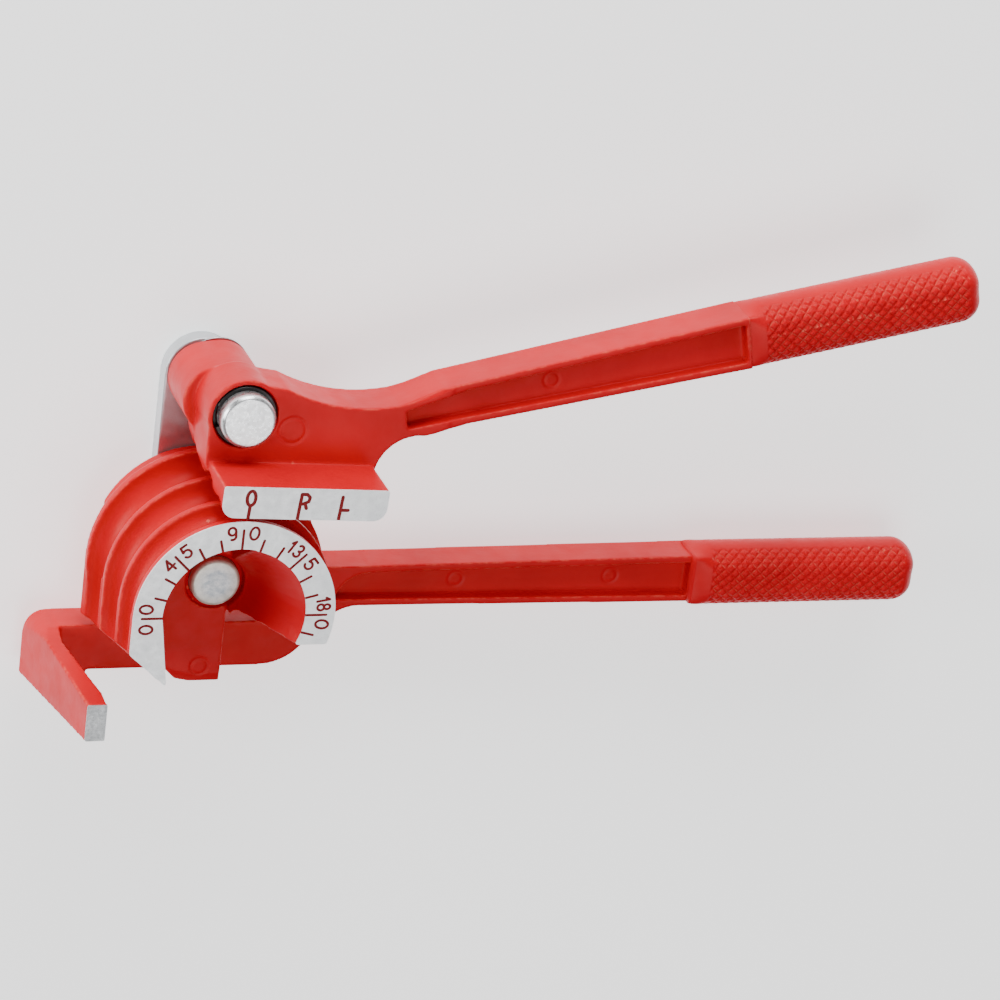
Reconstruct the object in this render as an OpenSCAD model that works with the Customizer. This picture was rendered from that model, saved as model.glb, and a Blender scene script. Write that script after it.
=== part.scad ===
// Hand tube bender with three grooves: a former on the lower handle, a shoe on the upper one, and a link.
// The tool lies on its back: the hinge axes point up, and the link plate rests on the bench.

/* [Tubes] */
// Outer diameter of the tube in the front groove
tube_front = 6; // [5:0.5:6.5]
// Outer diameter of the tube in the middle groove
tube_middle = 8; // [7:0.5:8.5]
// Outer diameter of the tube in the rear groove
tube_rear = 10; // [9:0.5:10.5]
// Clearance between a tube and its groove, on the radius
groove_clear = 0.1; // [0.05:0.05:0.2]

/* [Former] */
// Outer radius of the front flange, which carries the degree scale
ring_r = 22.7; // [22:0.1:23.5]
// Inner radius of the degree scale
ring_inner_r = 16.2; // [15:0.1:16.5]
// Height of the scale face above the bench
face_z = 45; // [44:0.5:46]
// Depth of the former's right end below the hinge axis
former_end = 7.2; // [6.5:0.1:8]

/* [Link] */
// Distance between the two hinge axes
link_length = 41.5; // [41:0.1:43]
// Thickness of the link plate
link_t = 4.5; // [3.5:0.1:4.6]
// Angle of the link from the lower handle, as shown
link_angle = 87.65; // [80:0.05:100]
// Radius of the former pin
former_pin_r = 5.6; // [5:0.1:6]
// Radius of the handle pin
handle_pin_r = 6.1; // [5.5:0.1:6.2]
// Running clearance of each pin in its casting, on the radius
pin_clear = 0.05; // [0.02:0.01:0.09]

/* [Shoe] */
// Gap between the former's flanges and the shoe's faces
shoe_gap = 0.8; // [0.5:0.1:1]
// Length of the shoe to the left of the link
shoe_left = 6.5; // [6:0.5:7]
// Length of the shoe to the right of the link
shoe_right = 30.7; // [28:0.1:32]
// Height of the shoe's marked front face
strip_h = 7.3; // [6:0.1:8]
// Depth of the ledge behind the marked face
ledge_depth = 13.5; // [12:0.5:14]

/* [Handles] */
// Height of the lower handle bar and of the base bar, in Z
lower_bar_z = 9.2; // [8.5:0.1:9.4]
// Width of the lower handle bar next to the former
lower_bar_w = 10; // [9:0.5:11]
// Angle between the two handles, as shown
upper_angle = 12.4; // [10:0.1:14]
// Half width of a grip
grip_r = 7.6; // [7:0.1:8]
// Half height of a grip, in Z
grip_half_z = 6.7; // [6:0.1:6.7]
// Length of a grip
grip_length = 55; // [50:1:57]
// Depth of the pockets in the handle bars
pocket_depth = 2.8; // [1:0.1:3.5]

/* [Hidden] */
eps = 0.01;
far = 60;
paint = [0.80, 0.10, 0.10];
steel = [0.72, 0.73, 0.74];

// Z levels, from the bench up: link, washers, castings.
washer_t = 0.5;
casting_z = link_t + washer_t;
front_lip = 2;
ridge_t = 1.8;
groove_w = [for (d = [tube_front, tube_middle, tube_rear]) d + 2 * groove_clear];
z_a = face_z - front_lip - groove_w[0];
z_b = z_a - ridge_t - groove_w[1];
z_c = z_b - ridge_t - groove_w[2];
groove_z = [z_a + groove_w[0] / 2, z_b + groove_w[1] / 2, z_c + groove_w[2] / 2];
back_flange_z = z_c - 2.2;
base_z = casting_z + lower_bar_z;

// Flange radii grow towards the back, and each groove's centre lies between its two flanges.
flange_r = [ring_r, ring_r + 1, ring_r + 2.3, ring_r + 3.5];
groove_r = [for (w = groove_w) w / 2];
groove_c = [for (i = [0:2]) (flange_r[i] + flange_r[i + 1]) / 2];

// Pins.
handle_pin_x = link_length * cos(link_angle);
handle_pin_y = link_length * sin(link_angle);
shoe_tilt = link_angle - 90;
pin_bore_gap = pin_clear;
former_pin_top = 28.2;
web_x = 3.4;
web_floor = 27;
handle_pin_top = 34.9;
shank_r = 4;

// Upper casting.
body_top = face_z - ledge_depth;
body_bottom = 20;
shoe_back = z_c + 0.2;
counterbore_r = handle_pin_r + 1.2;
counterbore_depth = 2.4;
ring_z = body_top - counterbore_depth + 1.2;

// Handles.
lower_axis_y = -7.8;
lower_axis_z = 11.1;
lower_grip_x = 121.3;
upper_axis_z = 25.7;
upper_grip_s = 118;
upper_bar_from = [3.7, 33.4];
pocket_rail = 1.6;

module lift(z) {
    translate([0, 0, z]) children();
}

// A round-cornered slot outline from one point to another.
module slot_2d(p, q, r) {
    a = atan2(q[1] - p[1], q[0] - p[0]);
    d = norm(q - p);
    translate(p) rotate(a) union() {
        circle(r = r, $fn = 48);
        translate([d, 0]) circle(r = r, $fn = 48);
        translate([0, -r]) square([d, 2 * r]);
    }
}

// Section of the former in the (r, z) plane, with the flanges' steps and the three grooves.
module former_profile() {
    difference() {
        polygon([[0, back_flange_z], [flange_r[3], back_flange_z], [flange_r[3], z_c],
                 [flange_r[2], z_b - ridge_t], [flange_r[2], z_b],
                 [flange_r[1], z_a - ridge_t], [flange_r[1], z_a],
                 [flange_r[0], face_z - front_lip], [flange_r[0], face_z], [0, face_z]]);
        for (i = [0:2])
            translate([groove_c[i], groove_z[i]]) circle(r = groove_r[i], $fn = 64);
    }
}

// The drum, before its hollow and its lower part are cut away.
module former_body() {
    rotate([0, 0, -40]) rotate_extrude($fn = 128) former_profile();
}

// What is taken out of the drum from the front, and the gap below it.
module former_cavity() {
    tip_y = -8.2;
    tip_x = -flange_r[0];
    // Flat-floored pocket on the left.
    lift(web_floor) intersection() {
        cylinder(r = ring_inner_r, h = face_z, $fn = 96);
        translate([-far, -far, 0]) cube([far + web_x, 2 * far, face_z]);
    }
    lift(web_floor) translate([-ring_inner_r, -far, 0]) cube([ring_inner_r + web_x, far, face_z]);
    // Dished pocket on the right, from the pin to the scale.
    lift(former_pin_top) cylinder(r1 = former_pin_r + 1.2, r2 = ring_inner_r,
                                  h = face_z - former_pin_top + eps, $fn = 96);
    // Recess round the former pin.
    lift(web_floor - 1) cylinder(r = former_pin_r + 1, h = 20, $fn = 64);
    // The 45 degree cut at the lower left, through the wall and the web.
    lift(back_flange_z - 1) linear_extrude(height = face_z)
        polygon([[tip_x - 8, tip_y + 8], [tip_x + 18, tip_y - 18], [tip_x + 18, -far], [-far, -far], [-far, tip_y + 8]]);
    // Square lower end of the web.
    lift(back_flange_z - 1) translate([-far, -far, 0]) cube([2 * far, far - 24.8, face_z]);
    // Arch to the right of the web.
    lift(base_z) linear_extrude(height = face_z) polygon([
        [web_x, -far], [web_x, -7.5], [web_x + 0.7, -6.3], [web_x + 1.8, -6],
        [ring_inner_r - 1, -former_end], [far, -former_end], [far, -far]]);
}

// Base bar behind the former, with the bend up to the handle bar.
module base_bar() {
    bend_r = 12.8;
    bend_c = [16, -14.8];
    hollow_r = 11.5;
    hollow_c = [39, -24.7];
    lift(casting_z) linear_extrude(height = lower_bar_z) difference() {
        union() {
            polygon([[-31, -16.5], [21, -16.5], [21, -27.6], [-31, -27.6]]);
            polygon([[17, -18], [21.5, -9], [26, -3.3], [44, -3.3], [44, -13.1], [39, -13.3], hollow_c,
                     [27.8, -19.7], [18, -22]]);
            intersection() {
                translate(bend_c) circle(r = bend_r, $fn = 96);
                translate([12, -40]) square([20, 24]);
            }
        }
        translate(hollow_c) circle(r = hollow_r, $fn = 96);
        translate([bend_c[0], -40]) difference() {
            square([20, 24]);
            translate([-20, 0]) square([20, 40]);
            translate([0, 40 + bend_c[1]]) circle(r = bend_r, $fn = 96);
            translate([12, 17]) square([20, 20]);
        }
    }
    // Plate behind the drum, which holds the pin.
    lift(casting_z) intersection() {
        cylinder(r = flange_r[1] - 0.4, h = back_flange_z - casting_z + 1, $fn = 128);
        translate([-21, -17, 0]) cube([2 * far, far, 20]);
    }
}

// Tube hook: a slanted arm that widens from the front to the base bar.
module hook() {
    corner = 5;
    difference() {
        intersection() {
            translate([0, -10, 0]) rotate([90, 0, 0]) linear_extrude(height = 30)
                polygon([[-37.2, casting_z], [-30.8, face_z], [-26.4, face_z], [-26.7, groove_z[0]],
                         [-29.1, groove_z[1] - 1], [-31.4, groove_z[2]], [-31, base_z],
                         [-24, base_z], [-24, casting_z]]);
            translate([-far, 0, 0]) rotate([90, 0, 90]) linear_extrude(height = far)
                polygon([[-32.3, casting_z], [-29.4, face_z], [-20.7, face_z], [-16.7, base_z],
                         [-16.5, casting_z]]);
        }
        lift(-eps) linear_extrude(height = face_z + 1) difference() {
            translate([-40, -21.5]) square([8, 8]);
            translate([-32, -21.5]) circle(r = corner, $fn = 64);
        }
    }
}

// Core of a grip, along +X: round, with flats above and below and a rounded end.
module grip(z) {
    end_r = 5;
    translate([0, 0, z]) intersection() {
        rotate([0, 90, 0]) rotate_extrude($fn = 96) intersection() {
            union() {
                square([grip_r, grip_length - end_r]);
                square([grip_r - end_r, grip_length]);
                translate([grip_r - end_r, grip_length - end_r]) circle(r = end_r, $fn = 64);
            }
            square([grip_r + 1, grip_length + 1]);
        }
        translate([-1, -far, -grip_half_z]) cube([grip_length + 2, 2 * far, 2 * grip_half_z]);
    }
}

// Four-cornered bar from x0 to x1, with half widths w0 and w1.
module bar(x0, x1, w0, w1, z0, z1) {
    lift(z0) linear_extrude(height = z1 - z0) polygon([[x0, -w0], [x1, -w1], [x1, w1], [x0, w0]]);
}

// The pockets in the front and the back of a bar, from an outline.
module pockets(z0, z1, outline) {
    for (z = [z0 - 1, z1 - pocket_depth])
        lift(z) linear_extrude(height = pocket_depth + 1) polygon(outline);
}

module lower_handle() {
    color(paint) difference() {
        union() {
            difference() {
                former_body();
                former_cavity();
            }
            base_bar();
            hook();
            translate([0, lower_axis_y - 0.4, 0])
                bar(40, lower_grip_x + 1, lower_bar_w / 2, 5.9, casting_z, base_z);
            translate([lower_grip_x, lower_axis_y, 0]) grip(lower_axis_z);
        }
        translate([0, lower_axis_y - 0.4, 0]) pockets(casting_z, base_z, [
            [32.5, -3.2], [33.2, -1.2], [35, 1.1], [37.6, 2.7], [41, 3.3], [lower_grip_x - 2.5, 5.8 - pocket_rail],
            [lower_grip_x - 2.5, pocket_rail - 5.8], [37, -3.4]]);
        lift(casting_z - eps) rotate([0, 0, 125]) cylinder(r = former_pin_r + pin_bore_gap, h = 40, $fn = 64);
        // The plate is open below the bar's top edge, to the right of the web.
        lift(casting_z - eps) linear_extrude(height = 60)
            polygon([[web_x, -16.5], [web_x, -7.5], [web_x + 1.8, -6.4], [15, -8.6], [18.5, -14], [18.5, -16.5]]);
    }
}

// The shoe, in its own frame: its faces lie along +X at right angles to the link.
module shoe() {
    corner = 3;
    face_y = [for (r = flange_r) r + shoe_gap];
    top_y = ring_r + shoe_gap + strip_h;
    difference() {
        // Stepped block under the ledge.
        rotate([90, 0, 90]) translate([0, 0, -shoe_left]) linear_extrude(height = shoe_left + shoe_right)
            polygon([[top_y, face_z], [face_y[0], face_z], [face_y[0], face_z - front_lip],
                     [face_y[1], z_a], [face_y[1], z_a - ridge_t],
                     [face_y[2], z_b], [face_y[2], z_b - ridge_t],
                     [face_y[3] + 0.3, shoe_back], [top_y, shoe_back]]);
        // Rounded lower corners, left and right.
        for (i = [0:3]) {
            z0 = [face_z - front_lip, z_a - ridge_t, z_b - ridge_t, 0][i];
            z1 = [face_z + 1, face_z - front_lip, z_a - ridge_t, z_b - ridge_t][i];
            lift(z0) linear_extrude(height = z1 - z0) for (side = [-1, 1]) {
                x = side < 0 ? -shoe_left : shoe_right;
                difference() {
                    translate([x - (side < 0 ? 1 : corner), face_y[i] - 6]) square([corner + 1, corner + 6]);
                    translate([x - side * corner, face_y[i] + corner]) circle(r = corner, $fn = 48);
                }
            }
        }
    }
}

// Side outline of the upper casting between the ledge and the handle bar.
module body_2d() {
    difference() {
        union() {
            polygon([[-4.9, 26.5], [-6.2, 30], [-6.2, handle_pin_y], [handle_pin_x, handle_pin_y + 7.8],
                     [15, 47], [29, 44.5], [48.4, 50], [48.4, 38.4], [42.6, 36.2], [33.4, 27.5], [31.6, 26.5]]);
            translate([handle_pin_x, handle_pin_y]) circle(r = 8.4, $fn = 64);
        }
        // Saddle on top and hollow below the bar.
        translate([29.5, 83.1]) circle(r = 40, $fn = 128);
        translate([42.2, 26.6]) circle(r = 9.9, $fn = 96);
    }
}

module upper_handle() {
    color(paint) difference() {
        union() {
            rotate([0, 0, shoe_tilt]) shoe();
            lift(body_bottom) linear_extrude(height = body_top - body_bottom) body_2d();
            // Solid between the shoe and the rear boss.
            lift(shoe_back) linear_extrude(height = body_bottom - shoe_back + eps)
                polygon([[-5.3, 30], [-6.1, 32], [-8, 40], [-3, 47], [6, 46], [14, 40], [20, 30]]);
            // Rear boss, which runs on the washer.
            lift(casting_z) linear_extrude(height = body_bottom - casting_z + eps)
                slot_2d([-1.3, 40.4], [handle_pin_x + 0.1, handle_pin_y - 0.6], 8);
            translate(upper_bar_from) rotate([0, 0, upper_angle]) {
                bar(44.5, upper_grip_s + 1, 4.75, 6.3, body_bottom + 0.2, body_top - 0.2);
                translate([upper_grip_s, 0, 0]) grip(upper_axis_z);
            }
        }
        translate(upper_bar_from) rotate([0, 0, upper_angle]) pockets(body_bottom + 0.2, body_top - 0.2, [
            [35.5, 1.3], [50, 4.8 - pocket_rail], [upper_grip_s - 2.5, 6.2 - pocket_rail],
            [upper_grip_s - 2.5, pocket_rail - 6.2], [50, pocket_rail - 4.8], [35.5, -3]]);
        // The shoe's half of each groove.
        rotate([0, 0, shoe_tilt]) for (i = [0:2])
            translate([-shoe_left - 2, groove_c[i], groove_z[i]]) rotate([0, 90, 0])
                cylinder(r = groove_r[i], h = shoe_left + shoe_right + 4, $fn = 64);
        translate([handle_pin_x, handle_pin_y, casting_z - eps])
            cylinder(r = handle_pin_r + pin_bore_gap, h = 40, $fn = 64);
        translate([handle_pin_x, handle_pin_y, body_top - counterbore_depth])
            cylinder(r = counterbore_r, h = 20, $fn = 64);
    }
}

module link_plate() {
    color(steel) difference() {
        linear_extrude(height = link_t) union() {
            slot_2d([-1.1, 0], [-1.1, 40.2], 8.6);
            circle(r = 9, $fn = 64);
        }
        lift(-eps) cylinder(r = shank_r, h = link_t + 1, $fn = 48);
        translate([handle_pin_x, handle_pin_y, -eps]) cylinder(r = shank_r, h = link_t + 1, $fn = 48);
    }
}

// Pin with a reduced shank that is staked in the link plate, and a bevelled head end.
module pin(r, top, groove) {
    bevel = 0.6;
    cylinder(r = shank_r, h = link_t + eps, $fn = 48);
    difference() {
        union() {
            lift(link_t) cylinder(r = r, h = top - bevel - link_t, $fn = 64);
            lift(top - bevel - eps) cylinder(r1 = r, r2 = r - bevel, h = bevel + eps, $fn = 64);
        }
        if (groove > 0) lift(groove) difference() {
            cylinder(r = r + 1, h = 1.1, $fn = 64);
            lift(-1) cylinder(r = r - 0.8, h = 4, $fn = 64);
        }
    }
}

module former_pin() {
    color(steel) pin(former_pin_r, former_pin_top, 0);
}

module handle_pin() {
    color(steel) translate([handle_pin_x, handle_pin_y, 0]) pin(handle_pin_r, handle_pin_top, ring_z);
}

// Open ring that snaps into the groove of the handle pin.
module retaining_ring() {
    color([0.12, 0.12, 0.13]) translate([handle_pin_x, handle_pin_y, ring_z + 0.05]) rotate([0, 0, 200])
        rotate_extrude(angle = 320, $fn = 64) translate([handle_pin_r - 0.75, 0]) square([1.6, 1]);
}

module flat_ring(r_in, r_out, t) {
    difference() {
        cylinder(r = r_out, h = t, $fn = 64);
        lift(-1) cylinder(r = r_in, h = t + 2, $fn = 64);
    }
}

// Spring washer under the retaining ring.
module wave_washer() {
    color([0.20, 0.19, 0.19]) translate([handle_pin_x, handle_pin_y, body_top - counterbore_depth + 0.1])
        flat_ring(handle_pin_r + 0.15, counterbore_r - 0.3, 1);
}

module former_washer() {
    color(steel) lift(link_t) flat_ring(former_pin_r + 0.1, former_pin_r + 3, washer_t - 0.05);
}

module handle_washer() {
    color(steel) translate([handle_pin_x, handle_pin_y, link_t])
        flat_ring(handle_pin_r + 0.1, handle_pin_r + 1.6, washer_t - 0.05);
}

lower_handle();
upper_handle();
link_plate();
former_pin();
handle_pin();
retaining_ring();
wave_washer();
former_washer();
handle_washer();
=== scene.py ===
import math

import bmesh
import bpy
import numpy as np
from mathutils import Matrix, Vector


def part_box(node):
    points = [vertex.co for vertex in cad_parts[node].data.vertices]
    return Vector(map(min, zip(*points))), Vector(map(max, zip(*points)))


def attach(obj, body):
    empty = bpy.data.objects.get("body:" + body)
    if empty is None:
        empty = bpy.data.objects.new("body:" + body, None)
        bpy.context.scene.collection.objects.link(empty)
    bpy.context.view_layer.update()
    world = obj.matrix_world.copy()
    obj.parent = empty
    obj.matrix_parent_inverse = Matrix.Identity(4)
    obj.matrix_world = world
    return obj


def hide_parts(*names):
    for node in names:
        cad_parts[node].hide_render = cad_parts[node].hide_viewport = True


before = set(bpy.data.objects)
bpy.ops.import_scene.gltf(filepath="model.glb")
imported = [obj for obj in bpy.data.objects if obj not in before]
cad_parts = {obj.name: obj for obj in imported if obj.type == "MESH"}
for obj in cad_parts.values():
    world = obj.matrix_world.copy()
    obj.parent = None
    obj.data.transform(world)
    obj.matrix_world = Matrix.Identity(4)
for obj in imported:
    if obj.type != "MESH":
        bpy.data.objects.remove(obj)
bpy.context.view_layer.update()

MM = 0.001


def polar(r, degrees, centre=(0, 0)):
    """The point at this distance and angle from centre."""
    a = math.radians(degrees)
    return centre[0] + r * math.cos(a), centre[1] + r * math.sin(a)


def turned(x, y, angle):
    """(x, y) turned about the origin by an angle in radians."""
    c, s = math.cos(angle), math.sin(angle)
    return x * c - y * s, x * s + y * c


def clamped(value):
    """The value, kept between 0 and 1."""
    return min(max(value, 0), 1)


# Sizes shared with the CAD part, in millimetres and degrees. Lists run from the front groove to the rear.
FACE_Z = 45.0
BACK_Z = 12.6
CAVITY_Z = 27.0
FLANGE_R = [22.7, 23.7, 25.0, 26.2]
GROOVE_Z = [39.9, 30.9, 19.9]
GROOVE_C = [23.2, 24.35, 25.6]
GROOVE_R = [3.1, 4.1, 5.1]
RING_IN = 16.2
SHOE_GAP = 0.8
LINK_ANGLE = 87.65
LINK_LENGTH = 41.5
PIN_XY = polar(LINK_LENGTH, LINK_ANGLE)
UPPER_FROM = (3.7, 33.4)
UPPER_ANGLE = math.radians(12.4)
UPPER_GRIP = (*polar(118, 12.4, UPPER_FROM), 25.7)
LOWER_GRIP = (121.3, -7.8, 11.1)
GRIP_OVERLAP = 1.7  # how far a grip's own mesh reaches back over the bar

# Former's wall below the 0 mark: its slanted tip as (x to the left, y down) of the outer and inner corner.
TIP_OUT = (22.7, 8.4)
TIP_IN = (13.8, 16.3)
TIP_LEAN = 0.27  # how much the flange ends run down per millimetre behind the face
RUN_TOP_Y = 0.4
RUN_LOWEST_Y = -16.8
CAVITY_SIDE_X = -9.0

# Castings.
CASTING_VOXEL = 0.3
LINK_VOXEL = 0.22
STOCK = 1.5  # metal above the front faces that is ground off again
STOCK_ROOT = 0.6
PLATE_T = 0.28  # thickness of the ground faces' own pieces
LEAST_CORNERS = 8  # cut outlines with fewer corners are crumbs
DENT_DEPTH = 0.16
DENT_WIDTH = 0.28
LOWER_DENTS = [((-1.5, -21.0, 27), 1.9), ((-11.8, 0.2, 27), 1.7), ((62, -8.2, 11.4), 1.7),
               ((100, -8.2, 11.4), 1.7)]
UPPER_DENTS = [((12.6, 38.1, 31.5), 3.0), ((72, 48.6, 28.6), 1.7)]
SADDLE_FILL = [(36, 42.6), (40, 43.9), (43, 45.0), (46.3, 46.2), (50, 47.4), (50, 48.5), (46.3, 47.62),
               (43, 46.2), (40, 44.9), (36, 43.5)]
UNDER_FILL = [(42.6, 36.3), (45.5, 36.8), (48.5, 37.8), (52, 38.9), (52, 40.3), (42.6, 38)]
FILL_Z = (20.4, 31.1)

# Grips.
GRIP_LENGTH = 55.0
GRIP_R = 7.6
GRIP_HALF_Z = 6.7
GRIP_START = -2.4
GRIP_END_R = 5.0
NECK_END = 1.6  # the neck runs from GRIP_START to here
NECK_INSET = 0.5
NECK_HALF = (6.45, 5.75)
NECK_BLEND = 5.5
KNURL_PITCH = 1.3
KNURL_DEPTH = 0.42
KNURL_ROUND_R = 7.2

# Engraved marks.
CUT_DEPTH = 0.2
CUT_ABOVE = 0.4
SCALE_STROKE = 0.6
SHOE_STROKE = 0.8
TICK_FROM_R = 15.2
LONG_TICK_R = 20.7
SHORT_TICK_R = 18.8
FIGURE_R = 20.05
FIGURE_SIZE = (2.35, 3.15)
NARROW_FIGURE = 0.82

# Pins and rings, as heights and radii.
AXIS_R = 0.001  # closes a turned outline at its axis
FORMER_PIN_R = 5.6
HANDLE_PIN_R = 6.1
CLIP_GROOVE_R = 5.3
CLIP_GROOVE_Z = (30.3, 31.4)
LINK_TOP = 4.6
STAKED_TAIL = [(AXIS_R, 0.02), (3.6, 0.02), (3.98, 0.4), (3.98, 4.4)]
SPACER_Z = (4.5, 4.95)
RING_STEPS = 96
CREASE = math.radians(32)


# ---------------------------------------------------------------- mesh helpers

def node_arrays(name):
    """Corners and triangles of a CAD node, in millimetres."""
    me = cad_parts[name].data
    co = np.empty(len(me.vertices) * 3)
    me.vertices.foreach_get("co", co)
    me.calc_loop_triangles()
    tris = np.empty(len(me.loop_triangles) * 3, int)
    me.loop_triangles.foreach_get("vertices", tris)
    return co.reshape(-1, 3) / MM, tris.reshape(-1, 3)


def welded(verts, tris):
    """The same solid with corners at the same place joined."""
    keys = np.round(verts, 4)
    unique, inverse = np.unique(keys, axis=0, return_inverse=True)
    tris = inverse.reshape(-1)[tris]
    keep = (tris[:, 0] != tris[:, 1]) & (tris[:, 1] != tris[:, 2]) & (tris[:, 0] != tris[:, 2])
    return unique, tris[keep]


def make_object(name, verts, faces, materials, smooth=True):
    """A mesh object from corners in millimetres."""
    me = bpy.data.meshes.new(name)
    corners = [tuple(v) for v in np.asarray(verts) * MM]
    me.from_pydata(corners, [], [tuple(int(i) for i in f) for f in faces])
    for m in materials:
        me.materials.append(m)
    me.update()
    me.polygons.foreach_set("use_smooth", [smooth] * len(me.polygons))
    o = bpy.data.objects.new(name, me)
    bpy.context.scene.collection.objects.link(o)
    return o


def joined(solids):
    """Several (verts, faces) as one."""
    verts, faces, base = [], [], 0
    for v, f in solids:
        verts.append(np.asarray(v, float))
        faces += [[i + base for i in face] for face in f]
        base += len(v)
    return np.concatenate(verts), faces


def frozen(o):
    """Applies o's modifiers."""
    dg = bpy.context.evaluated_depsgraph_get()
    me = bpy.data.meshes.new_from_object(o.evaluated_get(dg))
    o.modifiers.clear()
    old = o.data
    o.data = me
    bpy.data.meshes.remove(old)
    return o


def cast(name, solids, material, voxel, rounds):
    """Overlapping closed solids melted into one casting with rounded edges."""
    o = make_object(name, *joined(solids), [material])
    melt = o.modifiers.new("melt", "REMESH")
    melt.mode = "VOXEL"
    melt.voxel_size = voxel * MM
    melt.use_smooth_shade = True
    soften = o.modifiers.new("soften", "SMOOTH")
    soften.factor = 0.5
    soften.iterations = rounds
    return frozen(o)


def raised(verts, tris):
    """Closed prisms over the faces at FACE_Z, so that they can be ground off again flat."""
    top = np.all(np.abs(verts[tris][:, :, 2] - FACE_Z) < 0.01, axis=1)
    chosen = tris[top]
    n = len(verts)
    low = verts.copy()
    low[:, 2] = FACE_Z - STOCK_ROOT
    high = verts.copy()
    high[:, 2] = FACE_Z + STOCK
    faces = [list(t[::-1]) for t in chosen] + [list(t + n) for t in chosen]
    edges = {(a, b) for t in chosen for a, b in ((t[0], t[1]), (t[1], t[2]), (t[2], t[0]))}
    faces += [[a, b, b + n, a + n] for a, b in sorted(edges) if (b, a) not in edges]
    used = sorted({i for f in faces for i in f})
    index = {i: k for k, i in enumerate(used)}
    return np.concatenate([low, high])[used], [[index[i] for i in f] for f in faces]


def loft(start, end):
    """Closed solid between two outlines with the same number of points."""
    n = len(start)
    f = [list(range(n))[::-1], list(range(n, 2 * n))]
    f += [[i, (i + 1) % n, (i + 1) % n + n, i + n] for i in range(n)]
    return np.array(list(start) + list(end)), f


def prism(polygon, z0, z1):
    """Upright prism over a polygon."""
    return loft([(x, y, z0) for x, y in polygon], [(x, y, z1) for x, y in polygon])


def ordered_loops(edges):
    """The corners of each closed loop of edges, in order."""
    neighbours = {}
    for e in edges:
        a, b = e.verts
        neighbours.setdefault(a, []).append(b)
        neighbours.setdefault(b, []).append(a)
    left, loops = set(neighbours), []
    while left:
        first = min(left, key=lambda v: (round(v.co.x, 6), round(v.co.y, 6)))
        loop, here, before = [first], first, None
        while True:
            ways = [v for v in neighbours[here] if v is not before]
            if not ways:
                break
            before, here = here, ways[0]
            if here is first or here not in left:
                break
            loop.append(here)
        left -= set(loop)
        if len(loop) > 2:
            loops.append(loop)
    return loops


def cut_off(o, point, normal):
    """Cuts o flat, drops what lies beyond the plane, and returns the outlines of the cut in millimetres."""
    bm = bmesh.new()
    bm.from_mesh(o.data)
    geom = bm.verts[:] + bm.edges[:] + bm.faces[:]
    cut = bmesh.ops.bisect_plane(bm, geom=geom, dist=1e-8, plane_co=Vector(point) * MM,
                                 plane_no=Vector(normal), clear_outer=True)
    on_plane = [g for g in cut["geom_cut"] if isinstance(g, bmesh.types.BMVert)]
    bmesh.ops.remove_doubles(bm, verts=on_plane, dist=1e-6)
    edges = [e for e in bm.edges if len(e.link_faces) == 1]
    outlines = []
    for loop in ordered_loops(edges):
        if len(loop) < LEAST_CORNERS:
            continue
        try:
            face = bm.faces.new(loop)
            face.normal_update()
            if face.normal.dot(Vector(normal)) < 0:
                face.normal_flip()
        except ValueError:  # there is a face on this outline already
            pass
        outlines.append(np.array([tuple(v.co) for v in loop]) / MM)
    bm.to_mesh(o.data)
    bm.free()
    return outlines


def signed_area(p):
    """Area of an outline, negative if it runs clockwise."""
    x, y = p[:, 0], p[:, 1]
    return 0.5 * float(np.sum(x * np.roll(y, -1) - y * np.roll(x, -1)))


def spun(profile, centre, steps, wave=None):
    """Closed solid of revolution about the upright axis at centre, from an (r, z) outline."""
    n = len(profile)
    v, f = [], []
    for i in range(steps):
        a = 2 * math.pi * i / steps
        lift = wave(a) if wave else 0
        v += [(centre[0] + r * math.cos(a), centre[1] + r * math.sin(a), z + lift) for r, z in profile]
    for i in range(steps):
        here, after = i * n, (i + 1) % steps * n
        f += [[here + k, after + k, after + (k + 1) % n, here + (k + 1) % n] for k in range(n)]
    return np.array(v), f


def open_ring(profile, centre, a0, a1, steps):
    """Ring with a gap, from an (r, z) outline."""
    n = len(profile)
    v, f = [], []
    for i in range(steps + 1):
        a = math.radians(a0 + (a1 - a0) * i / steps)
        v += [(centre[0] + r * math.cos(a), centre[1] + r * math.sin(a), z) for r, z in profile]
    for i in range(steps):
        for k in range(n):
            m = (k + 1) % n
            f.append([i * n + k, (i + 1) * n + k, (i + 1) * n + m, i * n + m])
    f.append(list(range(n))[::-1])
    f.append([steps * n + k for k in range(n)])
    return np.array(v), [face[::-1] for face in f]


def rounded_rim(r, top, bevel, n=6):
    """Outline of a rounded corner between a pin's side and its end."""
    angles = [math.pi / 2 * k / n for k in range(n + 1)]
    return [(r - bevel + bevel * math.cos(a), top - bevel + bevel * math.sin(a)) for a in angles]


def bevelled_box(r0, r1, z0, z1, b):
    """Section of a ring with bevelled corners."""
    return [(r0 + b, z0), (r1 - b, z0), (r1, z0 + b), (r1, z1 - b), (r1 - b, z1), (r0 + b, z1),
            (r0, z1 - b), (r0, z0 + b)]


def turned_piece(name, solid, material):
    """A pin or ring, smooth but with its corners crisp."""
    o = make_object(name, *solid, [material])
    o.data.set_sharp_from_angle(angle=CREASE)
    return o


# ---------------------------------------------------------------- materials

BLACK = (0, 0, 0)
WHITE = (1, 1, 1)


def shader(name, color, rough, metal=0.0, spec=0.5):
    """A plain material, with its node tree and its Principled node."""
    m = bpy.data.materials.new(name)
    m.use_nodes = True
    b = m.node_tree.nodes["Principled BSDF"]
    b.inputs["Base Color"].default_value = (*color, 1)
    b.inputs["Roughness"].default_value = rough
    b.inputs["Metallic"].default_value = metal
    b.inputs["Specular IOR Level"].default_value = spec
    return m, m.node_tree, b


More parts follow.
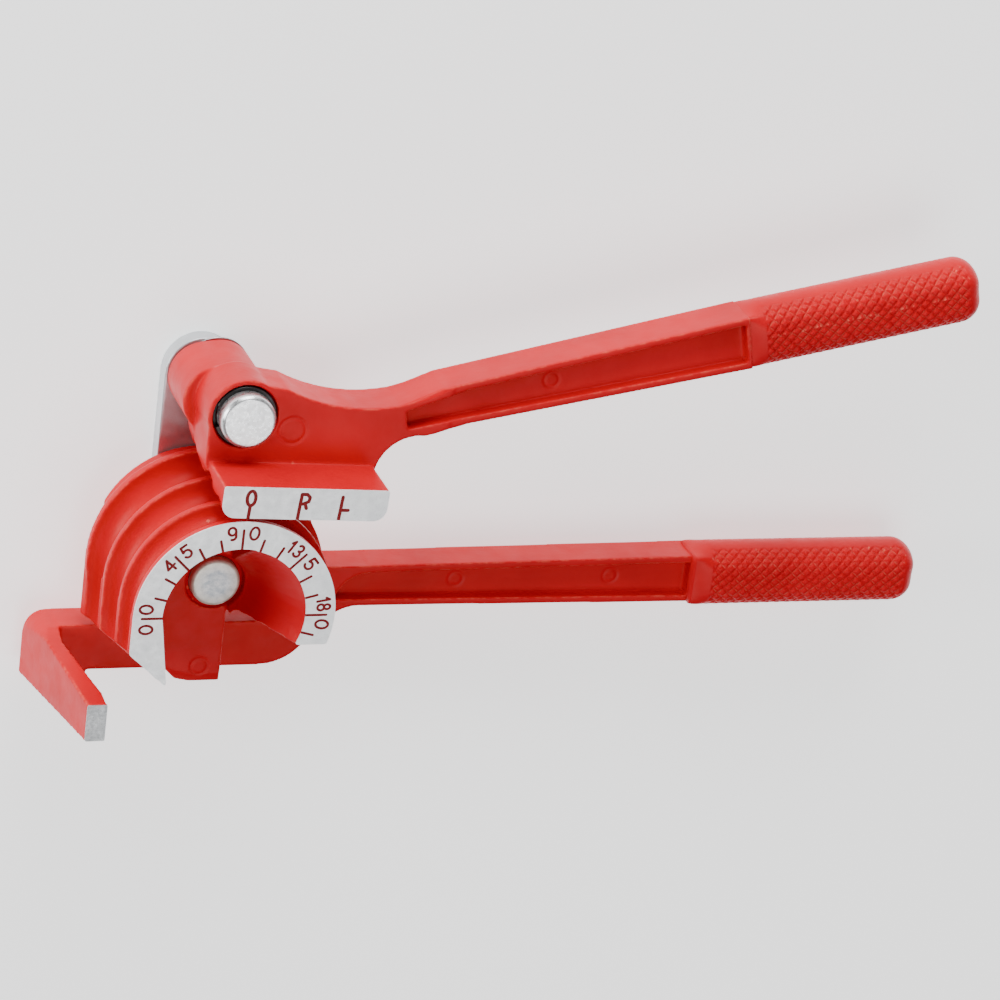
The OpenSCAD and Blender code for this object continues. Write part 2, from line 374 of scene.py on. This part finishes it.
def place(tree):
    """The tree's object coordinates."""
    for n in tree.nodes:
        if n.bl_idname == "ShaderNodeTexCoord":
            return n.outputs["Object"]
    return tree.nodes.new("ShaderNodeTexCoord").outputs["Object"]


def noise(tree, scale, detail=3.0, rough=0.5):
    """Noise of this scale per metre."""
    n = tree.nodes.new("ShaderNodeTexNoise")
    n.inputs["Scale"].default_value = scale
    n.inputs["Detail"].default_value = detail
    n.inputs["Roughness"].default_value = rough
    tree.links.new(place(tree), n.inputs["Vector"])
    return n.outputs["Fac"]


def ramp(tree, fac, low, high):
    """Colour ramp between two (position, colour) stops."""
    r = tree.nodes.new("ShaderNodeValToRGB")
    for element, (position, color) in zip(r.color_ramp.elements, (low, high)):
        element.position = position
        element.color = (*color, 1)
    tree.links.new(fac, r.inputs["Fac"])
    return r.outputs["Color"]


def multiplied(tree, a, b):
    """Product of socket a and b, a socket or a number."""
    n = tree.nodes.new("ShaderNodeMath")
    n.operation = "MULTIPLY"
    tree.links.new(a, n.inputs[0])
    if isinstance(b, bpy.types.NodeSocket):
        tree.links.new(b, n.inputs[1])
    else:
        n.inputs[1].default_value = b
    return n.outputs[0]


def mixed(tree, fac, a, b):
    """Mix of two colours, each a socket or a plain colour."""
    n = tree.nodes.new("ShaderNodeMix")
    n.data_type = "RGBA"
    tree.links.new(fac, n.inputs[0])
    for value, socket in ((a, n.inputs[6]), (b, n.inputs[7])):
        if isinstance(value, bpy.types.NodeSocket):
            tree.links.new(value, socket)
        else:
            socket.default_value = (*value, 1)
    return n.outputs[2]


def bumps(tree, b, layers):
    """A chain of bumps; each layer is (height socket, strength, distance in mm)."""
    normal = None
    for height, strength, distance in layers:
        n = tree.nodes.new("ShaderNodeBump")
        n.inputs["Strength"].default_value = strength
        n.inputs["Distance"].default_value = distance * MM
        tree.links.new(height, n.inputs["Height"])
        if normal:
            tree.links.new(normal, n.inputs["Normal"])
        normal = n.outputs["Normal"]
    tree.links.new(normal, b.inputs["Normal"])


def varied_gloss(tree, b, scale, low, high):
    """Roughness that wanders between two values."""
    gloss = ramp(tree, noise(tree, scale, 3), (0.3, (low,) * 3), (0.7, (high,) * 3))
    tree.links.new(gloss, b.inputs["Roughness"])


def paint_material(name, color, deep, rubbed_highlight):
    """Baked-on red enamel with orange peel; convex edges are paler, partly rubbing wear and partly a painted
    highlight.
    """
    m, t, b = shader(name, color, 0.36, spec=0.14)
    b.inputs["Specular Tint"].default_value = (1.0, 0.80, 0.66, 1)
    tone = mixed(t, ramp(t, noise(t, 60, 2), (0.35, BLACK), (0.7, WHITE)), color, deep)
    geometry = t.nodes.new("ShaderNodeNewGeometry")
    # Pale salmon on convex edges, broken up by noise: rubbed paint and a painted edge highlight together.
    edge = ramp(t, geometry.outputs["Pointiness"], (0.515, BLACK), (0.57, WHITE))
    edge_patches = ramp(t, noise(t, 420, 4, 0.6), (0.42, BLACK), (0.62, WHITE))
    wear_and_highlight = multiplied(t, multiplied(t, edge, edge_patches), 0.55)
    t.links.new(mixed(t, wear_and_highlight, tone, rubbed_highlight), b.inputs["Base Color"])
    varied_gloss(t, b, 260, 0.30, 0.44)
    bumps(t, b, [(noise(t, 900, 2), 0.22, 0.12), (noise(t, 230, 2), 0.2, 0.25)])
    return m


def engraving_material():
    """Dull dark red paint in the cut marks."""
    m, t, b = shader("engraving_paint", (0.26, 0.010, 0.012), 0.6, spec=0.2)
    bumps(t, b, [(noise(t, 1500, 3), 0.5, 0.1)])
    return m


def metal_material(name, light, dark, rough, scale, speck, metal=1.0):
    """Bare or plated steel, clouded and finely speckled."""
    m, t, b = shader(name, light, rough, metal=metal)
    cloud = ramp(t, noise(t, scale, 4, 0.6), (0.35, dark), (0.65, light))
    dots = ramp(t, noise(t, 2600, 2, 0.5), (0.30, WHITE), (0.42, BLACK))
    speckled = mixed(t, multiplied(t, dots, speck), cloud, tuple(c * 0.45 for c in dark))
    t.links.new(speckled, b.inputs["Base Color"])
    varied_gloss(t, b, scale * 3, rough - 0.08, rough + 0.1)
    bumps(t, b, [(noise(t, 1800, 3), 0.25, 0.05)])
    return m


def mottled_pin():
    """The former pin's dull end: blue-grey in the middle, yellowish towards the rim."""
    m, t, b = shader("mottled_pin", (0.5, 0.5, 0.5), 0.42, metal=0.45)
    split = t.nodes.new("ShaderNodeSeparateXYZ")
    t.links.new(place(t), split.inputs[0])
    across = t.nodes.new("ShaderNodeCombineXYZ")
    t.links.new(split.outputs[0], across.inputs[0])
    t.links.new(split.outputs[1], across.inputs[1])
    length = t.nodes.new("ShaderNodeVectorMath")
    length.operation = "LENGTH"
    t.links.new(across.outputs[0], length.inputs[0])
    outward = t.nodes.new("ShaderNodeMapRange")
    outward.inputs["From Min"].default_value = 2.6 * MM
    outward.inputs["From Max"].default_value = 5.4 * MM
    t.links.new(length.outputs["Value"], outward.inputs["Value"])
    middle = ramp(t, noise(t, 700, 5, 0.7), (0.35, (0.36, 0.42, 0.47)), (0.62, (0.74, 0.76, 0.76)))
    rim = ramp(t, noise(t, 500, 4, 0.6), (0.35, (0.60, 0.54, 0.44)), (0.65, (0.80, 0.75, 0.66)))
    t.links.new(mixed(t, outward.outputs[0], middle, rim), b.inputs["Base Color"])
    bumps(t, b, [(noise(t, 1300, 4, 0.6), 0.5, 0.08)])
    return m


# The last colour is the pale salmon laid on convex edges: rubbed paint and a painted highlight.
paint = paint_material("red_enamel", (0.60, 0.0016, 0.0100), (0.52, 0.0013, 0.0085), (0.90, 0.20, 0.13))
engraving = engraving_material()
ground_steel = metal_material("ground_face", (0.93, 0.94, 0.95), (0.84, 0.85, 0.87), 0.4, 220, 0.25, 0.3)
hook_steel = metal_material("hook_face", (0.50, 0.51, 0.52), (0.38, 0.39, 0.40), 0.45, 500, 0.6, 0.8)
zinc = metal_material("zinc_plate", (0.62, 0.65, 0.67), (0.52, 0.55, 0.57), 0.38, 90, 0.1, 0.85)
bright_steel = metal_material("turned_steel", (0.74, 0.75, 0.76), (0.64, 0.65, 0.66), 0.30, 400, 0.25, 0.9)
washer_steel = metal_material("washer_steel", (0.45, 0.46, 0.47), (0.35, 0.35, 0.36), 0.38, 300, 0.1)
black_steel = metal_material("blued_spring", (0.035, 0.033, 0.033), (0.02, 0.018, 0.018), 0.34, 400, 0.2, 0.6)
dull_pin = mottled_pin()


# ---------------------------------------------------------------- parts of the castings

def former_run():
    """Straight run of the former's wall below its 0 mark, down to the slanted tip."""
    steps = 14
    section = [(FLANGE_R[3], BACK_Z)]
    for i in (2, 1, 0):
        for k in range(steps + 1):
            a = -math.pi / 2 + math.pi * k / steps
            r = GROOVE_C[i] - GROOVE_R[i] * math.cos(a)
            section.append((min(r, FLANGE_R[i + 1]), GROOVE_Z[i] + GROOVE_R[i] * math.sin(a)))
        section.append((FLANGE_R[i], GROOVE_Z[i] + GROOVE_R[i]))
        if i:
            section.append((FLANGE_R[i], GROOVE_Z[i - 1] - GROOVE_R[i - 1]))
    section.append((FLANGE_R[0], FACE_Z + STOCK))
    slope = (TIP_IN[1] - TIP_OUT[1]) / (TIP_OUT[0] - TIP_IN[0])

    def end_y(x, z=FACE_Z):
        lean = clamped((-x - 14) / 8) * TIP_LEAN
        return -TIP_OUT[1] - (x + TIP_OUT[0]) * slope - lean * max(FACE_Z - z, 0)

    start = [(-r, RUN_TOP_Y, z) for r, z in section]
    end = [(-r, max(end_y(-r, z), RUN_LOWEST_Y), z) for r, z in section]
    inside = [(FACE_Z + STOCK, -RING_IN, -TIP_IN[0]), (CAVITY_Z, -RING_IN, -TIP_IN[0]),
              (CAVITY_Z, CAVITY_SIDE_X, CAVITY_SIDE_X), (BACK_Z, CAVITY_SIDE_X, CAVITY_SIDE_X)]
    start += [(x, RUN_TOP_Y, z) for z, x, _ in inside]
    end += [(x, end_y(x), z) for z, _, x in inside]
    return loft(start, end)


def dent_rings(o, marks):
    """Faint round ejector marks pressed into faces that look forward; each is (centre, radius)."""
    me = o.data
    co = np.empty(len(me.vertices) * 3)
    me.vertices.foreach_get("co", co)
    co = co.reshape(-1, 3) / MM
    for centre, radius in marks:
        d = co - np.array(centre)
        off = np.hypot(d[:, 0], d[:, 1]) - radius
        pressed = np.where(np.abs(d[:, 2]) < 1.2, np.exp(-(off / DENT_WIDTH) ** 2), 0)
        co[:, 2] -= pressed * DENT_DEPTH
    me.vertices.foreach_set("co", (co * MM).ravel())
    me.update()


def grip_rows(step):
    """The grip's sections from bar to tip, as (x, inset, scale)."""
    neck = 10
    rows = []
    for k in range(neck + 1):
        u = k / neck
        rows.append((GRIP_START + (NECK_END - GRIP_START) * u, NECK_INSET * (1 - u) ** 2, 1.0))
    straight = GRIP_LENGTH - GRIP_END_R - NECK_END
    n = int(straight / step)
    rows += [(NECK_END + straight * (k + 1) / n, 0.0, 1.0) for k in range(n)]
    m = int(GRIP_END_R * math.pi / 2 / step)
    for k in range(1, m + 1):
        a = math.pi / 2 * k / m
        rows.append((GRIP_LENGTH - GRIP_END_R + GRIP_END_R * math.sin(a), GRIP_END_R * (1 - math.cos(a)), 1.0))
    caps = 6
    rows += [(GRIP_LENGTH, GRIP_END_R, 1 - k / caps) for k in range(1, caps)]
    return rows


def zigzag(t):
    """Triangle wave between 0 and 1."""
    return 1 - np.abs(2 * (t - np.floor(t)) - 1)


def grip_solid(origin, angle):
    """A grip with diamond knurling on its front and back, and smooth strips along its sides."""
    step = 0.17
    columns = int(2 * math.pi * GRIP_R / step)
    rows = grip_rows(step)
    th = np.arange(columns) * 2 * math.pi / columns
    across, up = np.abs(np.cos(th)), np.abs(np.sin(th))
    rounded = GRIP_R / (1 + (up * GRIP_R / GRIP_HALF_Z) ** 16) ** (1 / 16)
    rounded = np.minimum(rounded, GRIP_HALF_Z / np.maximum(up, 1e-6))
    square = ((across / NECK_HALF[0]) ** 12 + (up / NECK_HALF[1]) ** 12) ** (-1 / 12)
    arc = np.arange(1, columns + 1) * 2 * math.pi * KNURL_ROUND_R / columns
    knurled = np.clip((up - 0.34) / 0.16, 0, 1)
    verts = []
    for x, inset, scale in rows:
        fade = clamped((x - 1.9) / 0.8) * clamped((GRIP_LENGTH - 3.4 - x) / 1.2)
        one_way = zigzag((x + arc) / (2 * KNURL_PITCH))
        other_way = zigzag((x - arc) / (2 * KNURL_PITCH))
        height = np.minimum(np.minimum(one_way, other_way) * 1.9, 1.0)
        u = clamped((x - GRIP_START) / NECK_BLEND)
        blend = u * u * (3 - 2 * u)
        shape = square * (1 - blend) + rounded * blend
        r = (shape - inset) * scale - KNURL_DEPTH * (1 - height) * knurled * fade * (scale == 1.0)
        verts += [(x, r[j] * math.cos(th[j]), r[j] * math.sin(th[j])) for j in range(columns)]
    faces = [list(range(columns))]
    for i in range(len(rows) - 1):
        here, after = i * columns, (i + 1) * columns
        for j in range(columns):
            k = (j + 1) % columns
            faces.append([after + j, after + k, here + k, here + j])
    tip = len(verts)
    verts.append((GRIP_LENGTH, 0, 0))
    last = (len(rows) - 1) * columns
    faces += [[tip, last + (j + 1) % columns, last + j] for j in range(columns)]
    v = np.array(verts)
    x, y = turned(v[:, 0], v[:, 1], angle)
    return np.stack([x + origin[0], y + origin[1], v[:, 2] + origin[2]], 1), faces


def add_solid(o, solid):
    """Adds a closed solid to o's mesh."""
    extra = make_object("extra", *solid, [o.data.materials[0]])
    bm = bmesh.new()
    bm.from_mesh(o.data)
    bm.from_mesh(extra.data)
    bm.to_mesh(o.data)
    bm.free()
    bpy.data.objects.remove(extra)
    o.data.polygons.foreach_set("use_smooth", [True] * len(o.data.polygons))


def ground_plate(name, outline, materials, cutter=None):
    """The thin ground face on a casting, with the marks cut into it."""
    p = outline[:, :2]
    if signed_area(p) < 0:
        p = p[::-1]
    solid = prism([tuple(q) for q in p], FACE_Z - PLATE_T, FACE_Z)
    o = make_object(name, *solid, materials, smooth=False)
    if cutter is not None:
        c = make_object("cutter", *cutter, materials, smooth=False)
        c.data.polygons.foreach_set("material_index", [1] * len(c.data.polygons))
        marks = o.modifiers.new("marks", "BOOLEAN")
        marks.operation = "DIFFERENCE"
        marks.solver = "EXACT"
        marks.use_self = True
        marks.object = c
        frozen(o)
        bpy.data.objects.remove(c)
    return o


# ---------------------------------------------------------------- engraved marks

def arc_points(cx, cy, rx, ry, a0, a1, n):
    """n + 1 points along an elliptic arc, with its angles in degrees."""
    angles = [math.radians(a0 + (a1 - a0) * k / n) for k in range(n + 1)]
    return [(cx + rx * math.cos(a), cy + ry * math.sin(a)) for a in angles]


# Strokes of each figure in a box 1 wide and 1 high, centred on the origin.
STROKES = {
    "0": [arc_points(0, 0, 0.42, 0.46, 0, 360, 20)],
    "1": [[(-0.22, 0.22), (0.05, 0.46), (0.05, -0.46)]],
    "3": [arc_points(-0.02, 0.23, 0.34, 0.23, 150, -90, 10) +
          arc_points(-0.02, -0.23, 0.38, 0.23, 90, -150, 10)],
    "4": [[(0.16, -0.46), (0.16, 0.46), (-0.42, -0.14), (0.44, -0.14)]],
    "5": [[(0.36, 0.46), (-0.26, 0.46), (-0.32, 0.06)] +
          arc_points(-0.02, -0.16, 0.38, 0.29, 130, -150, 12)],
    "8": [arc_points(0, 0.23, 0.30, 0.22, 0, 360, 14), arc_points(0, -0.22, 0.38, 0.24, 0, 360, 14)],
    "9": [arc_points(0, 0.17, 0.36, 0.29, 0, 360, 16),
          [(0.36, 0.17), (0.34, -0.16)] + arc_points(0, -0.2, 0.34, 0.26, 0, -110, 7)],
}

# Where each figure of the scale stands round the former, in degrees.
SCALE_FIGURES = [("0", 173.7), ("4", 141.3), ("5", 127.9), ("9", 97.2), ("0", 82.9), ("1", 55.9),
                 ("3", 50.4), ("5", 38.0), ("1", 10.3), ("8", 5.4), ("0", -6.6)]
SECOND_ZERO_AT = (-19.6, -2.65)


def stroke_solids(points, width):
    """One closed prism with round ends for each straight piece of a stroke."""
    out = []
    for (x0, y0), (x1, y1) in zip(points, points[1:]):
        a = math.atan2(y1 - y0, x1 - x0)
        poly = []
        for x, y, from_a in ((x1, y1, a - math.pi / 2), (x0, y0, a + math.pi / 2)):
            for k in range(7):
                t = from_a + math.pi * k / 6
                poly.append((x + width / 2 * math.cos(t), y + width / 2 * math.sin(t)))
        out.append(prism(poly, FACE_Z - CUT_DEPTH, FACE_Z + CUT_ABOVE))
    return out


def cutter_of(strokes, width):
    """All the strokes' prisms as one."""
    return joined([p for s in strokes for p in stroke_solids(s, width)])


def figure(char, centre, angle):
    """Strokes of a figure, placed and turned."""
    w, h = FIGURE_SIZE
    if char in "138":
        w *= NARROW_FIGURE
    strokes = []
    for stroke in STROKES[char]:
        placed = [turned(x * w, y * h, angle) for x, y in stroke]
        strokes.append([(centre[0] + x, centre[1] + y) for x, y in placed])
    return strokes


def scale_cutter():
    """The former's degree marks and figures."""
    strokes = []
    for mark in range(0, 196, 15):
        end_r = SHORT_TICK_R if mark % 45 else LONG_TICK_R
        strokes.append([polar(TICK_FROM_R, 180 - mark), polar(end_r, 180 - mark)])
    for char, at in SCALE_FIGURES:
        strokes += figure(char, polar(FIGURE_R, at), math.radians(at) - math.pi / 2)
    strokes += figure("0", SECOND_ZERO_AT, math.pi / 2)
    return cutter_of(strokes, SCALE_STROKE)


def shoe_cutter():
    """The shoe's 0, R and L marks, drawn upright over its lower edge and turned with the link."""
    base = FLANGE_R[0] + SHOE_GAP
    foot = base - 0.5
    zero = [arc_points(-0.3, base + 4.75, 0.95, 1.7, 0, 360, 20), [(-0.35, base + 3.0), (-0.45, foot)]]
    letter_r = [[(10.6, foot), (10.9, base + 6.0)],
                [(10.9, base + 6.0), (12.1, base + 6.0), (12.8, base + 5.3), (12.6, base + 4.3),
                 (11.3, base + 3.7)],
                [(11.8, base + 3.9), (12.3, base + 2.7)]]
    letter_l = [[(19.9, foot), (20.2, base + 5.6)], [(20.1, base + 2.5), (21.8, base + 2.5)]]
    tilt = math.radians(LINK_ANGLE - 90)
    strokes = [[turned(x, y, tilt) for x, y in stroke] for stroke in zero + letter_r + letter_l]
    return cutter_of(strokes, SHOE_STROKE)


# ---------------------------------------------------------------- the lower handle

lower_cad = welded(*node_arrays("lower_handle"))
lower = cast("lower_casting", [lower_cad, raised(*lower_cad), former_run()], paint, CASTING_VOXEL, 6)
dent_rings(lower, LOWER_DENTS)
cut_off(lower, (LOWER_GRIP[0] - GRIP_OVERLAP, 0, 0), (1, 0, 0))
ground = cut_off(lower, (0, 0, FACE_Z - PLATE_T), (0, 0, 1))
ground.sort(key=lambda p: p[:, 0].max() - p[:, 0].min())
add_solid(lower, grip_solid(LOWER_GRIP, 0.0))
scale_face = ground_plate("scale_face", ground[-1], [ground_steel, engraving], scale_cutter())
hook_face = ground_plate("hook_face", ground[0], [hook_steel, engraving])

# ---------------------------------------------------------------- the upper handle

upper_cad = welded(*node_arrays("upper_handle"))
fills = [prism(SADDLE_FILL, *FILL_Z), prism(UNDER_FILL, *FILL_Z)]
upper = cast("upper_casting", [upper_cad, raised(*upper_cad), *fills], paint, CASTING_VOXEL, 9)
dent_rings(upper, UPPER_DENTS)
along = (math.cos(UPPER_ANGLE), math.sin(UPPER_ANGLE), 0)
cut_off(upper, tuple(UPPER_GRIP[i] - GRIP_OVERLAP * along[i] for i in range(3)), along)
shoe_outline = max(cut_off(upper, (0, 0, FACE_Z - PLATE_T), (0, 0, 1)), key=len)
add_solid(upper, grip_solid(UPPER_GRIP, UPPER_ANGLE))
shoe_face = ground_plate("shoe_face", shoe_outline, [ground_steel, engraving], shoe_cutter())

# ---------------------------------------------------------------- link, pins and rings


def former_pin_outline():
    """Plain pin with a rounded end."""
    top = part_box("former_pin")[1].z / MM
    rim = rounded_rim(FORMER_PIN_R, top, 0.9)
    return STAKED_TAIL + [(FORMER_PIN_R, LINK_TOP)] + rim + [(FORMER_PIN_R / 2, top), (AXIS_R, top)]


def handle_pin_outline():
    """Pin with a groove for the retaining ring, a bevelled end and a fine turned line round its face."""
    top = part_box("handle_pin")[1].z / MM
    body = [(HANDLE_PIN_R, LINK_TOP), (HANDLE_PIN_R, CLIP_GROOVE_Z[0]), (CLIP_GROOVE_R, CLIP_GROOVE_Z[0]),
            (CLIP_GROOVE_R, CLIP_GROOVE_Z[1]), (HANDLE_PIN_R, CLIP_GROOVE_Z[1])]
    bevel = [(HANDLE_PIN_R, top - 0.75), (6.05, top - 0.62), (5.55, top - 0.1), (5.45, top - 0.04)]
    face = [(5.38, top - 0.12), (5.30, top - 0.02), (3, top), (AXIS_R, top)]
    return STAKED_TAIL + body + bevel + face


def ripple(angle):
    """Height of the spring washer's three waves."""
    return 0.14 * math.sin(3 * angle)


link = cast("link_bar", [welded(*node_arrays("link_plate"))], zinc, LINK_VOXEL, 5)
former_pin = turned_piece("former_pin_end", spun(former_pin_outline(), (0, 0), RING_STEPS), dull_pin)
handle_pin = turned_piece("handle_pin_end", spun(handle_pin_outline(), PIN_XY, 128), bright_steel)

clip_section = bevelled_box(5.38, 6.93, 30.4, 31.3, 0.12)
clip_ring = turned_piece("retaining_clip", open_ring(clip_section, PIN_XY, 202, 518, RING_STEPS), black_steel)
spring_section = bevelled_box(6.25, 6.95, 29.5, 29.9, 0.1)
wave = turned_piece("spring_washer", spun(spring_section, PIN_XY, RING_STEPS, ripple), black_steel)
former_section = bevelled_box(5.7, 8.6, *SPACER_Z, 0.1)
former_spacer = turned_piece("former_spacer", spun(former_section, (0, 0), RING_STEPS), washer_steel)
handle_section = bevelled_box(6.2, 7.7, *SPACER_Z, 0.1)
handle_spacer = turned_piece("handle_spacer", spun(handle_section, PIN_XY, RING_STEPS), washer_steel)

# ---------------------------------------------------------------- who rides where

for piece, body, slot_name, nodes in (
        (lower, "lower", "red_paint", ["lower_handle"]),
        (scale_face, "lower", "zinc_plate", []),
        (hook_face, "lower", "zinc_plate", []),
        (upper, "upper", "red_paint", ["upper_handle"]),
        (shoe_face, "upper", "zinc_plate", []),
        (link, "link", "zinc_plate", ["link_plate"]),
        (former_pin, "link", "pin_steel", ["former_pin"]),
        (handle_pin, "link", "pin_steel", ["handle_pin"]),
        (clip_ring, "link", "black_spring", ["retaining_ring"]),
        (wave, "link", "black_spring", ["wave_washer"]),
        (former_spacer, "link", "pin_steel", ["former_washer"]),
        (handle_spacer, "link", "pin_steel", ["handle_washer"])):
    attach(piece, body)
    if nodes:
        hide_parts(*nodes)

# ---------------------------------------------------------------- floor, light and camera


def floor_material():
    """Pale matt floor that glows a little, so that it stays lighter than the ground faces."""
    m, _, b = shader("floor", (0.90, 0.90, 0.90), 0.8, spec=0.1)
    b.inputs["Emission Color"].default_value = (1, 1, 1, 1)
    b.inputs["Emission Strength"].default_value = 1.10
    return m


def area_light(name, place_mm, aim_mm, size_mm, power):
    """A round soft light at one place, aimed at another."""
    d = bpy.data.lights.new(name, "AREA")
    d.shape = "DISK"
    d.size = size_mm * MM
    d.energy = power
    o = bpy.data.objects.new(name, d)
    o.location = Vector(place_mm) * MM
    o.rotation_mode = "QUATERNION"
    o.rotation_quaternion = (Vector(aim_mm) - Vector(place_mm)).to_track_quat("-Z", "Y")
    bpy.context.scene.collection.objects.link(o)


FLOOR_HALF = 3000
FLOOR_Z = -0.3
corners = [(-1, -1), (1, -1), (1, 1), (-1, 1)]
floor = make_object("floor", [(x * FLOOR_HALF, y * FLOOR_HALF, FLOOR_Z) for x, y in corners],
                    [[0, 1, 2, 3]], [floor_material()], smooth=False)

world = bpy.data.worlds.new("studio")
bpy.context.scene.world = world
world.use_nodes = True
background = world.node_tree.nodes["Background"]
background.inputs["Color"].default_value = (1, 1, 1, 1)
background.inputs["Strength"].default_value = 0.25

area_light("top", (40, 1000, 210), (60, 20, 20), 700, 12)
area_light("left", (-900, 150, 260), (20, 10, 20), 500, 7)
area_light("front", (100, -300, 1300), (60, 10, 20), 900, 8)

cam_data = bpy.data.cameras.new("camera")
cam_data.sensor_width = 36
cam_data.lens = 143.25
cam_data.clip_start = 0.05
cam_data.clip_end = 20
cam = bpy.data.objects.new("camera", cam_data)
bpy.context.scene.collection.objects.link(cam)
axes = Matrix(((0.9444, 0.01308, -0.32853), (0.12476, 0.91022, 0.39488), (0.3042, -0.41392, 0.85798)))
cam.rotation_mode = "QUATERNION"
cam.rotation_quaternion = axes.to_quaternion()
cam.location = (-0.22913, 0.37147, 0.79331)
bpy.context.scene.camera = cam
